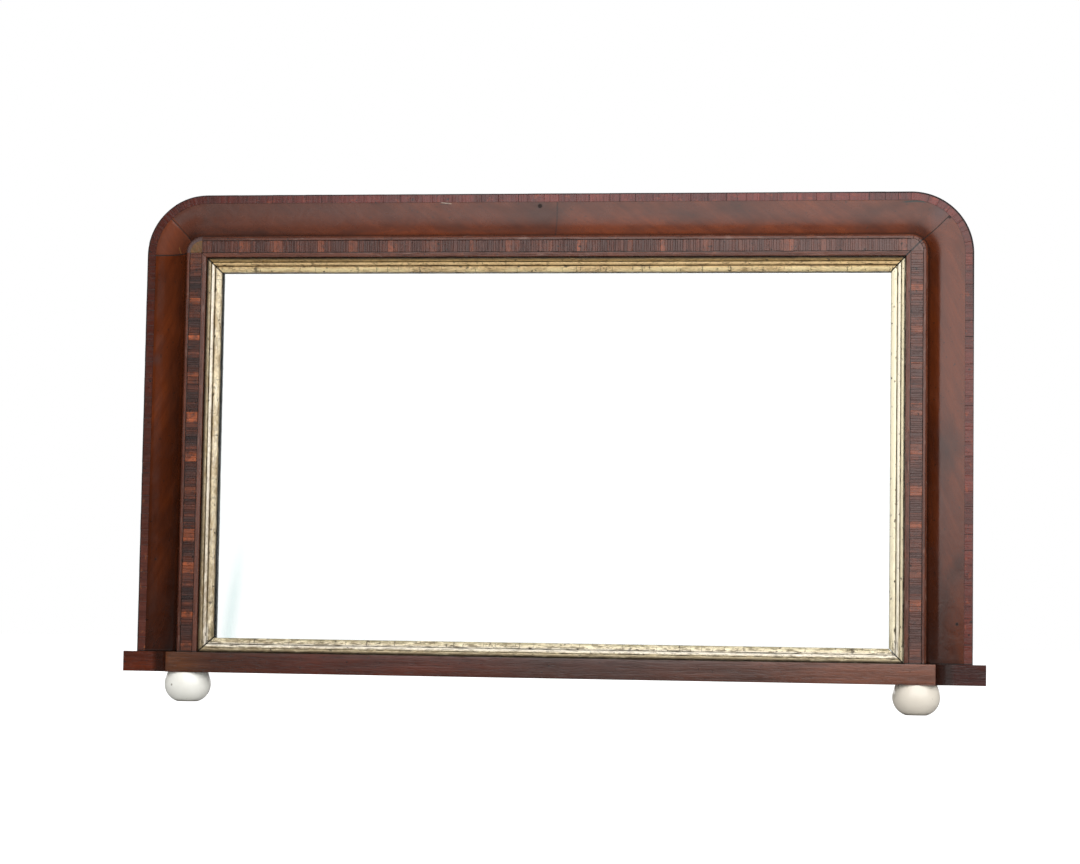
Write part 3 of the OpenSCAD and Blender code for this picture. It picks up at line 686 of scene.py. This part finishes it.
outer_strip = box_piece("outer_border_pattern", (border_w, band_t, 0.1), 0.0004, front_edge(1), cuts=23, steps=1)
inner_strip = box_piece("inner_border_pattern", (border_w, band_t, 0.1), 0.0005, front_edge(1), cuts=9)
for name, pieces in (
        ("left_border", [outer_border(0, left_end),
                         inner_border((-bend_x, sill), side_run, 0, (False, True))]),
        ("top_border", [outer_border(bend_end, top_end), outer_border(top_end + 0.0001, right_mitre),
                        inner_border((-bend_x, bend_z), top_run, 1, (True, True))]),
        ("right_border", [outer_border(right_mitre + 0.0002, far_end), outer_border(far_end + 0.0001, course_end),
                          inner_border((bend_x, bend_z), side_run, 2, (True, False))])):
    finish_piece(joined(pieces), edging, "strips_of_" + name, "frame", "band_border", name)
drop(outer_strip)
drop(inner_strip)


# The blocks: each block of the band is glued up from thin slips of bright orange, black stained or
# brown wood, laid across the band. Every slip is its own small piece with rubbed edges.
block_lengths = [12, 8, 16, 9, 7, 13, 18, 8, 11, 15, 7]  # in millimetres
block_woods = ["light", "brown", "dark", "brown", "light", "brown", "dark", "brown", "brown"]
first_block = {"left": 0, "right": 3, "top": 5}
slip_widths = {"light": (0.0038, 0.008), "dark": (0.0016, 0.0036), "brown": (0.0016, 0.0046)}
block_colours = {"light": ((0.105, 0.028, 0.01), (0.32, 0.08, 0.025)),
                 "dark": ((0.02, 0.01, 0.009), (0.066, 0.026, 0.018)),
                 "brown": ((0.036, 0.011, 0.006), (0.128, 0.036, 0.018))}
block_paint = {}
for wood, (dark, light) in block_colours.items():
    block_paint[wood], place = blank(wood + "_block")
    course = attribute(block_paint[wood], "course")
    sideways, _, height = split(place)
    slips = grain_of(placed(course, turn=along_x), dark, light, 520, 0.35, 0.6)
    tone = attribute(block_paint[wood], "tone", "Fac")
    colour = dyed(slips["Colour"], tinted(tone, (0.42, 0.42, 0.46), (1.55, 1.45, 1.4)))
    end_stain = spread(noise(course, 150, 3, 0.6), 0.48, 0.66)
    colour = tinted(times(end_stain, 0.6), colour, (0.03, 0.016, 0.014))
    colour = tinted(spread(height, 0.575, 0.585, 0, 0.45), colour, (0.08, 0.022, 0.013))
    # painted sheen: the blocks greyer and paler toward the right
    colour = tinted(spread(sideways, 0.1, 0.4, 0, 0.4), colour, (0.125, 0.064, 0.054))
    colour, rough, _ = polished(colour, course, 0.24, old_dirt)
    surface(shade_at_foot(place, colour), rough, slips["Height"], 0.0004)

slip_size = (blocks_w, band_t, 0.003)


def round_the_front(ends):
    return all(end.y < 0 for end in ends) and any(
        all(abs(end[axis]) > slip_size[axis] * 0.499 for end in ends) for axis in (0, 2))


slip = box_piece("slip_pattern", slip_size, 0.00018, round_the_front, steps=1)


def set_in_row(mesh, side):
    """Moves a slip from its place on the flat row to the left, top or right of the frame."""
    u, y, s = points_of(mesh).T
    x, z = {"left": (u - half_w, sill + s), "top": (s - bend_x, top - u), "right": (half_w - u, sill + s)}[side]
    move_points(mesh, np.column_stack((x, y, z)))
    if side == "right":
        mesh.flip_normals()


def row_of_blocks(side, length):
    glue_line, thinnest, least_block, least_slip = 0.00007, 0.0014, 0.0005, 0.0004
    woods = {wood: [] for wood in block_woods}
    turn, start = first_block[side], 0
    while start < length - least_block:
        wood = block_woods[turn % len(block_woods)]
        end = min(start + block_lengths[turn % len(block_lengths)] / 1000, length)
        low = start
        while low < end - least_slip:
            high = low + chance.uniform(*slip_widths[wood])
            if end - high < thinnest:
                high = end
            side_gap = chance.uniform(0.00015, 0.0005)
            front = front_y + chance.uniform(0, 0.00022)
            piece = fitted(slip, (corner_r - blocks_w + side_gap, front, low + glue_line),
                           (corner_r - side_gap, seat_y, high - glue_line))
            keep_course(piece.data, chance.uniform(0, 1))
            set_in_row(piece.data, side)
            woods[wood].append(piece)
            low = high
        start, turn = end, turn + 1
    for wood, pieces in woods.items():
        node = side + "_" + wood + "_blocks"
        finish_piece(joined(pieces), block_paint[wood], "slips_of_" + node, "frame", wood + "_block", node)


row_of_blocks("left", side_run)
row_of_blocks("top", top_run)
row_of_blocks("right", side_run)
drop(slip)


# The corners of the band: a filled and toned repair at the left, two brown blocks that meet in a
# mitre at the right. Both keep the shape of the cabinet maker's quarter disc.
def corner_wood(name, centre_x, dark, light, blotch, mitred):
    made, place = blank(name)
    wood = grain_of(placed(place, turn=(0, radians(35), 0)), dark, light, 300, 0.5, 0.5)
    blot = spread(noise(place, 190, 3, 0.6, 0.5), 0.46, 0.64)
    colour = tinted(times(blot, 0.55), wood["Colour"], blotch)
    rim = spread(gap_to(place, (centre_x, front_y, bend_z)), blocks_w - 0.0002, blocks_w + 0.0002)
    colour = tinted(rim, colour, (0.075, 0.042, 0.038))
    if mitred:
        colour = tinted(mitre_of(place, 0.0016), colour, gap_dark)
    colour, rough, _ = polished(colour, place, 0.24, old_dirt, specks=0)
    surface(colour, rough, wood["Height"], 0.0004)
    return made


use(corner_wood("corner_patch", -bend_x, (0.06, 0.025, 0.008), (0.19, 0.085, 0.026),
                (0.085, 0.065, 0.022), False), "left_corner_patch")
use(corner_wood("corner_blocks", bend_x, (0.045, 0.018, 0.014), (0.15, 0.075, 0.06),
                (0.11, 0.04, 0.02), True), "right_corner_blocks")


# The gilt slip: four mitred lengths of gessoed wood with a flat reed beside the band, a small round
# one and a wide one beside the glass, water gilt over a yellow ground, rubbed and cracked. The quirk
# beside the band is painted dark as shade in the recess.
slip_w, slip_front, slip_sight, glass_v = 0.019, 0.003, 0.015, 0.017
sight_w, back_v, reed_turn = slip_w - 0.00003, glass_v - 0.0001, radians(88)
quirk_w, quirk_deep, slip_gap = 0.0015, 0.005, 0.00012
reeds = ((0.00385, 0.0019, 0.0008), (0.00845, 0.0022, 0.0016), (0.015, 0.00397, 0.0024))  # middle, half, rise
groove_u = 0.0112  # between the round reed and the wide one
slope = (slip_sight - slip_front) / slip_w

gilding, place = blank("gilt")
course = attribute(gilding, "course")
inward = split(course)["X"]
sideways, _, height = split(place)
in_groove = attribute(gilding, "tone", "Fac")
# each slip's look paints light and shade per side: stain and painted shade beside the band, browning and painted
# shade on the face, and a painted highlight where lit
stained_and_shaded, browned_and_shaded, lit_side = split(attribute(gilding, "look"))
on_bottom = falling(height, 0.095, 0.105)
leafing = noise(course, 130, 4, 0.65, 0.5, along=0.35)
gold = tinted(spread(leafing, 0.38, 0.6), (0.4, 0.275, 0.115), (0.9, 0.77, 0.5))
rubbed = spread(noise(course, 420, 4, 0.65, along=0.12, shift=(0, 0, 0.2)), 0.5, 0.62, 0, 0.45)
gold = tinted(rubbed, gold, (0.97, 0.93, 0.8))
olive = spread(noise(course, 85, 4, 0.65, 0.8, along=0.4, shift=(0, 0, 0.9)), 0.56, 0.68, 0, 0.55)
gold = tinted(olive, gold, (0.2, 0.16, 0.06))

# dark: cracks across the wide reed, dirt in the grooves, painted shade in the quirk beside the band, chips down
# to the ground
jitter = add("CombineXYZ", {2: times(noise(course, 300), 0.003)}).outputs[0]
bent = add("VectorMath", {0: placed(course, (0.02, 0.02, 1)), 1: jitter}, operation="ADD").outputs[0]
crack_way = add("TexVoronoi", {"Vector": bent, "Scale": 52}, feature="DISTANCE_TO_EDGE").outputs["Distance"]
open_cracks = minus(noise(course, 130), falling(browned_and_shaded, 0, 0.1, 0.12))
crack = times(falling(crack_way, 0.008, 0.022), spread(inward, 0.01, 0.013),
              spread(open_cracks, 0.46, 0.6))
dirt_and_shade = smallest(plus(in_groove, spread(leafing, 0.62, 0.78, 0, 0.35)), 1)
broken = spread(noise(course, 230, 3, 0.6, along=0.3, shift=(0, 0.2, 0)), 0.4, 0.6, 0.62, 1)
worn_off = spread(noise(course, 260, 3, 0.6, along=0.3, shift=(0, 0.9, 0)), 0.4, 0.56, 0, 0.8)
dirt_and_shade = times(dirt_and_shade, broken, minus(1, times(worn_off, on_bottom)))
chip = spread(noise(course, 260, 3, 0.6, along=0.5, shift=(0.5, 0, 0)), 0.64, 0.7)
dark = largest(times(crack, 0.8), dirt_and_shade, chip)

# pits, most beside the groove; the crown of the round reed, worn pale and painted as a highlight; a painted
# highlight on the wide reed of the lit slips; the side of the wide reed in painted shade
near_groove = falling(away_from(inward, groove_u), 0.0008, 0.0024, 0.85)
pits = times(spread(noise(course, 430, 3, 0.6, along=0.5, shift=(0, 0.4, 0)), 0.5, 0.62),
             largest(spread(browned_and_shaded, 0, 0.14, 0.25, 0.65), near_groove))
crown = times(falling(in_groove, 0, 0.25, 0.55), spread(inward, 0.0058, 0.0066),
              spread(inward, 0.01, 0.0115, 1, 0.25))
shaded = times(falling(inward, groove_u, 0.0145, 0.45), spread(inward, 0.0104, 0.0108), stained_and_shaded)
fleck = times(spread(noise(course, 560, 3, 0.6, along=0.35, shift=(0.3, 0, 0)), 0.52, 0.6),
              spread(browned_and_shaded, 0, 0.14, 0, 0.7),
              spread(noise(course, 60, shift=(0, 0.7, 0)), 0.4, 0.58, 0.25, 1))
for mask, tint in (
        (pits, (0.17, 0.1, 0.045)),
        (times(lit_side, spread(inward, 0.011, 0.013, 0.75, 1)), (1, 0.9, 0.62)),
        (crown, (0.98, 0.94, 0.86)),
        (shaded, (0.3, 0.22, 0.11)),
        (fleck, (0.13, 0.085, 0.045))):
    gold = tinted(mask, gold, tint)
# painted shade with browning: the face darkened and browned, most on the top slip, which faces down
brown_side = times(browned_and_shaded, spread(inward, 0.011, 0.0135, 1, 0.75))
gold = tinted(brown_side, gold, dyed(gold, (0.78, 0.6, 0.36)))

# painted highlights in patches on the wide reed at the top, stains low down on the left, on the bottom slip a
# painted highlight beside the groove, worn flecks and an olive edge, and dark olive in painted shade beside the
# band
patch = times(spread(noise(course, 75, 3, 0.6, along=0.3, shift=(0.1, 0, 0.3)), 0.44, 0.6, 0, 0.65),
              browned_and_shaded, spread(inward, 0.0125, 0.014))
stain = times(falling(height, 0.1, 0.34, 0.75), spread(sideways, -0.35, 0.05, 1, 0.42),
              spread(noise(course, 210, 4, 0.7, along=0.4, shift=(0, 0, 0.6)), 0.38, 0.6))
pale = times(falling(away_from(inward, 0.0108), 0.0012, 0.0026, 0.65), on_bottom)
worn_low = times(spread(noise(course, 330, 4, 0.65, along=0.2, shift=(0.6, 0, 0)), 0.51, 0.58), on_bottom,
                 spread(inward, 0.01, 0.013, 0.45, 0.8))
olive_edge = times(spread(inward, 0.015, 0.0178, 0, 0.6), on_bottom, spread(leafing, 0.4, 0.56))
mottled = times(spread(leafing, 0.24, 0.46, 0.35, 1), falling(inward, 0.0034, 0.0056, 0.92), stained_and_shaded)
for mask, tint in (
        (patch, (0.92, 0.76, 0.42)),
        (stain, (0.26, 0.18, 0.085)),
        (pale, (1, 0.95, 0.84)),
        (worn_low, (0.15, 0.115, 0.06)),
        (olive_edge, (0.27, 0.245, 0.125)),
        (mottled, (0.105, 0.066, 0.024)),
        (dark, (0.045, 0.028, 0.012)),
        (mitre_of(place, 0.0014), (0.008, 0.005, 0.003))):
    gold = tinted(mask, gold, tint)
surface(gold, between(spread(leafing, 0.35, 0.65), 0.34, 0.55), minus(leafing, times(dark, 0.8)), 0.0004,
        Metallic=times(minus(1, dark), between(lit_side, 0.22, 0.1)))


def slip_face(w):
    return slip_front + slope * w


# the section: in from the band, back from its face, and how dark it is painted there: dirt in the grooves and on
# the back and sides, painted shade in the quirk
section = [(slip_gap, slip_front + quirk_deep, 1), (quirk_w, slip_front + quirk_deep, 1),
           (quirk_w, slip_face(quirk_w) + 0.0004, 0.8)]
for middle, half, rise in reeds:
    for turn in np.linspace(-1, 1, 15):
        w = middle + half * sin(turn * reed_turn)
        v = slip_face(w) - rise * cos(turn * reed_turn) + (0.0005 if abs(turn) == 1 else 0)
        section.append((w, v, float(np.interp(half - abs(w - middle), (0, 0.0004, 0.0008), (1, 0.8, 0)))))
section += [(sight_w, slip_sight + 0.0006, 1), (sight_w, back_v, 1), (slip_gap, back_v, 1)]


def gilt_slip(name, length, corner, quarter, look):
    bpy.ops.object.select_all(action="DESELECT")
    bpy.ops.mesh.primitive_circle_add(vertices=len(section), radius=0.01, fill_type="NGON")
    piece = bpy.context.object
    move_points(piece.data, [(w, v - mid_v, 0) for w, v, dirt_and_shade in section])
    bpy.ops.object.mode_set(mode="EDIT")
    bpy.ops.mesh.select_all(action="SELECT")
    bpy.ops.mesh.extrude_region_move(TRANSFORM_OT_translate={"value": (0, 0, length)})
    bpy.ops.mesh.select_all(action="SELECT")
    bpy.ops.mesh.normals_make_consistent(inside=False)
    bpy.ops.object.mode_set(mode="OBJECT")
    mitre_ends(piece, length, (True, True), 0.00045)
    ws, vs, dirts = np.array(section).T
    points = points_of(piece.data)
    near = ((points[:, :1] - ws) ** 2 + (points[:, 1:2] - (vs - mid_v)) ** 2).argmin(axis=1)
    keep_course(piece.data, dirts[near])
    write_down(piece.data, "look", np.tile(look, len(points)), "FLOAT_VECTOR", "vector")
    set_down(piece.data, corner, quarter)
    finish_piece(piece, gilding, "gilt_" + name, "frame", "gilt", name, smooth=42)


side_slip, top_slip = inner_z - sill, 2 * inner_x
# each slip's look: how stained and shaded beside the band, how browned and shaded, how brightly lit and rubbed,
# painted light and shade per side
gilt_slip("left_slip", side_slip, (-inner_x, sill), 0, (1, 0.06, 0))
gilt_slip("top_slip", top_slip, (-inner_x, inner_z), 1, (0.85, 1, 0.3))
gilt_slip("right_slip", side_slip, (inner_x, inner_z), 2, (0.12, 0, 1))
gilt_slip("bottom_slip", top_slip, (inner_x, sill), 3, (1, 0.14, 1))


# The glass: one clear plate 5 mm thick with ground edges, its back silvered. The silver is a little
# clouded and speckled where damp reached it from the edges.
def every_edge(ends):
    return True


silver_gap = 0.0001
low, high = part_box("mirror_glass")
plate = box_piece("plate_pattern", tuple(high - low), 0.0006, every_edge, steps=1)
whole = fitted(plate, low, (high[0], high[1] - silver_gap, high[2]))
drop(plate)
clear, place = blank("plate_glass")
film = spread(noise(place, 9, 4, 0.6), 0.5, 0.9, 0, 0.02)
surface((0.992, 1, 0.997, 1), film, noise(place, 3), 0.00002, Transmission_Weight=1, IOR=1.5,
        Specular_IOR_Level=0.08)
finish_piece(whole, clear, "glass_plate", "frame", "plate_glass", "mirror_glass")

silver, place = blank("silvering")
low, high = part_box("silvering")
x, _, z = split(place)
from_edge = smallest(minus(high[0], absolute(x)), minus(z, low[2]), minus(high[2], z))
damp = falling(plus(from_edge, times(noise(place, 45, 4, 0.65), -0.0085)), -0.0015, 0.0015, 0.8)
spots = spread(noise(place, 160), 0.8, 0.83)
# a dark margin beside the left slip, a painted reflection of the slip's dark edge, and a pale streak low down
# there, also a painted reflection
slip_reflection = plus(x, times(noise(place, 70, 3), 0.0007), times(z, 0.0032))
spoiled_and_reflected = largest(damp, spots, falling(slip_reflection, -0.4327, -0.4321, 0.95))
beside_streak = absolute(plus(minus(x, times(z, 0.12)), 0.429))
reflected_streak = times(falling(beside_streak, 0.002, 0.014), falling(z, 0.14, 0.23))
clean = tinted(reflected_streak, (0.985, 0.99, 0.99), (0.79, 0.87, 0.865))
surface(tinted(spoiled_and_reflected, clean, (0.035, 0.04, 0.038)), between(spoiled_and_reflected, 0.015, 0.4), spoiled_and_reflected, 0.00003,
        Metallic=1)
use(silver, "silvering")


# Behind the glass: glue blocks in the rebate and four thin backboards of pine, nailed all round. The
# boards are bare, grey brown and stained by damp.
board_pitch = 0.1298


def bare_board(name, dark, light):
    made, place = blank(name)
    wood = grain_of(placed(place, turn=along_x), dark, light, 130, 0.45, 0.35)
    damp = spread(noise(placed(place, (0.4, 1, 1)), 6, 4, 0.6, 1.2), 0.45, 0.7, 0, 0.5)
    colour = tinted(damp, wood["Colour"], (0.13, 0.085, 0.05))
    board_no = calc("FLOOR", calc("DIVIDE", split(place)["Z"], board_pitch))
    own = add("TexWhiteNoise", {"W": board_no}, noise_dimensions="1D").outputs["Value"]
    colour = tinted(own, colour, dyed(colour, (0.66, 0.64, 0.64)))
    knot = add("TexVoronoi", {"Vector": placed(place, (0.5, 0.01, 1)), "Scale": 5.5}).outputs["Distance"]
    colour = tinted(falling(knot, 0.035, 0.06, 0.8), colour, (0.05, 0.025, 0.012))
    surface(colour, spread(noise(place, 300), 0.5, 0.8, 0.68, 0.85), wood["Height"], 0.0005)
    return made


use(bare_board("glue_block_pine", (0.19, 0.11, 0.055), (0.36, 0.23, 0.12)), "glue_blocks")
board_paint = bare_board("backboard_pine", (0.15, 0.082, 0.04), (0.4, 0.245, 0.13))
board = box_piece("board_pattern", (0.935, 0.008, 0.129), 0.0011, every_edge)
for name in ("backboard_bottom", "backboard_lower", "backboard_upper", "backboard_top"):
    low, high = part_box(name)
    finish_piece(fitted(board, low, high), board_paint, "board_" + name, "frame", "pine", name)
drop(board)

iron, place = blank("iron")
rust = spread(noise(place, 420, 4, 0.65), 0.42, 0.6)
colour = tinted(rust, (0.24, 0.225, 0.21), (0.12, 0.05, 0.024))
surface(colour, between(rust, 0.36, 0.75), rust, Metallic=minus(0.85, times(rust, 0.8)))
use(iron, "backboard_nails", "plinth_screws", "foot_screws", "hanger_screws")


# The plinth: a mahogany board with two ears and hollow returns, edged with veneer, and a rosewood
# veneer on the front block, glued on with its grain lengthwise and chipped along its lower edge.
block_half, block_y, plinth_low, facing_h = 0.4945, -0.0283, 0.038, 0.026


def plinth_wood(name, dark, light, streaks, on_left=(1, 1, 1), on_right=(1, 1, 1), shine=0.65):
    """Wood along X that changes its tone toward the left and right ends, with painted shade in the hollow
    returns.
    """
    made, place = blank(name)
    wood = grain_of(placed(place, turn=along_x), dark, light, streaks, 0.5, 0.6)
    x = split(place)["X"]
    outward = absolute(x)
    ends = tinted(spread(x, -0.34, 0.08), on_left, (1, 1, 1))
    far_left = tinted(spread(x, -0.4935, -0.495), (1.8, 1.4, 0.55), on_left)
    ends = tinted(spread(x, -0.472, -0.43), far_left, ends)
    ends = tinted(spread(x, 0.1, 0.45), ends, on_right)
    colour = dyed(wood["Colour"], ends)
    warm = times(spread(x, -0.42, -0.3), falling(x, -0.12, 0))
    colour = tinted(warm, colour, dyed(colour, (1.35, 0.85, 0.6)))
    # painted shade: the hollow returns darkened to nearly black, where shade falls
    return_shade = times(spread(outward, 0.4948, 0.496), falling(outward, 0.513, 0.52, 0.75))
    colour = tinted(return_shade, colour, (0.012, 0.0035, 0.001))
    cloud = spread(noise(placed(place, (0.3, 1, 1)), 22, 3), 0.45, 0.68, 0, 0.35)
    colour = tinted(cloud, colour, (0.018, 0.008, 0.006))
    colour, rough, _ = polished(colour, place, 0.16, (0.012, 0.006, 0.005))
    surface(colour, rough, wood["Height"], 0.0004, Specular_IOR_Level=shine)
    return made


use(plinth_wood("plinth_mahogany", (0.012, 0.003, 0.001), (0.048, 0.011, 0.003), 150), "plinth_board")
use(plinth_wood("ear_mahogany", (0.034, 0.009, 0.004), (0.125, 0.034, 0.013), 190, (1.15, 0.65, 0.3),
                (0.5, 0.22, 0.2), shine=0.45), "left_ear_veneer", "right_ear_veneer")
# on the facing the end tints are painted light: darker toward the left as painted shade, lighter and greyer
# toward the right as a painted sheen
facing_wood = plinth_wood("plinth_rosewood", (0.024, 0.009, 0.006), (0.078, 0.03, 0.021), 260,
                          (1.05, 0.62, 0.25), (2.75, 2.5, 2))
columns, rows_up = 330, 6
facing, grid = sheet(columns, rows_up)
chipped = np.array([max(0, chance.gauss(-0.0002, 0.00035)) for _ in range(columns + 1)])
for _ in range(9):
    at = chance.randrange(columns)
    chipped[at:at + chance.randint(2, 5)] += chance.uniform(0.0004, 0.0011)
column = np.rint((grid[:, 0] + 0.5) * columns).astype(int)
z = plinth_low + facing_h * (grid[:, 1] + 0.5) + chipped[column] * (grid[:, 1] < -0.49)
ease = 0.0003 * ((np.abs(grid[:, 1]) > 0.49) | (np.abs(grid[:, 0]) > 0.4995))
move_points(facing.data, np.column_stack((grid[:, 0] * 2 * block_half, block_y + ease, z)))
thicken(facing, veneer_t - 0.0003)
finish_piece(facing, facing_wood, "plinth_facing", "frame", "plinth_rosewood", "plinth_front_veneer", smooth=25)


# The feet: two turned buns of glazed white ceramic, warm white, with a small neck under the plinth,
# a counterbore for the screw and an unglazed ring where they stand.
glaze, place = blank("foot_ceramic")
x, _, z = split(place)
cast = spread(noise(place, 30, 3), 0.35, 0.7)
colour = tinted(cast, (0.93, 0.925, 0.86), (0.87, 0.855, 0.785))
# painted shade: the right foot darker and creamier than the left
colour = tinted(spread(x, -0.2, 0.2, 0, 0.8), colour, (0.68, 0.61, 0.51))
fleck = falling(gap_to(place, (-0.4857, -0.0275, 0.0215)), 0.0008, 0.0018, 0.8)
specks = largest(spread(noise(place, 260, 1), 0.79, 0.8), fleck)
colour = tinted(specks, colour, (0.2, 0.17, 0.13))
stand = falling(z, 0.0006, 0.0016)
colour = tinted(stand, colour, (0.5, 0.44, 0.35))
surface(colour, between(stand, spread(cast, 0, 1, 0.08, 0.15), 0.6), noise(place, 60), 0.0004)
use(glaze, "left_foot", "right_foot")


# The hangers: pressed plates of worn nickelled steel with knuckles for two D rings, each held by two
# slotted screws on the back of the stiles.
plated, place = blank("hanger_steel")
worn = spread(noise(place, 190, 4, 0.6), 0.52, 0.66)
brushed = noise(place, 1500, along=0.06)
colour = tinted(worn, (0.6, 0.585, 0.555), (0.26, 0.2, 0.145))
surface(colour, between(worn, spread(brushed, 0.3, 0.7, 0.2, 0.34), 0.55), brushed, 0.00006, Metallic=0.92)
use(plated, "left_hanger_plate", "right_hanger_plate", "left_ring", "right_ring")
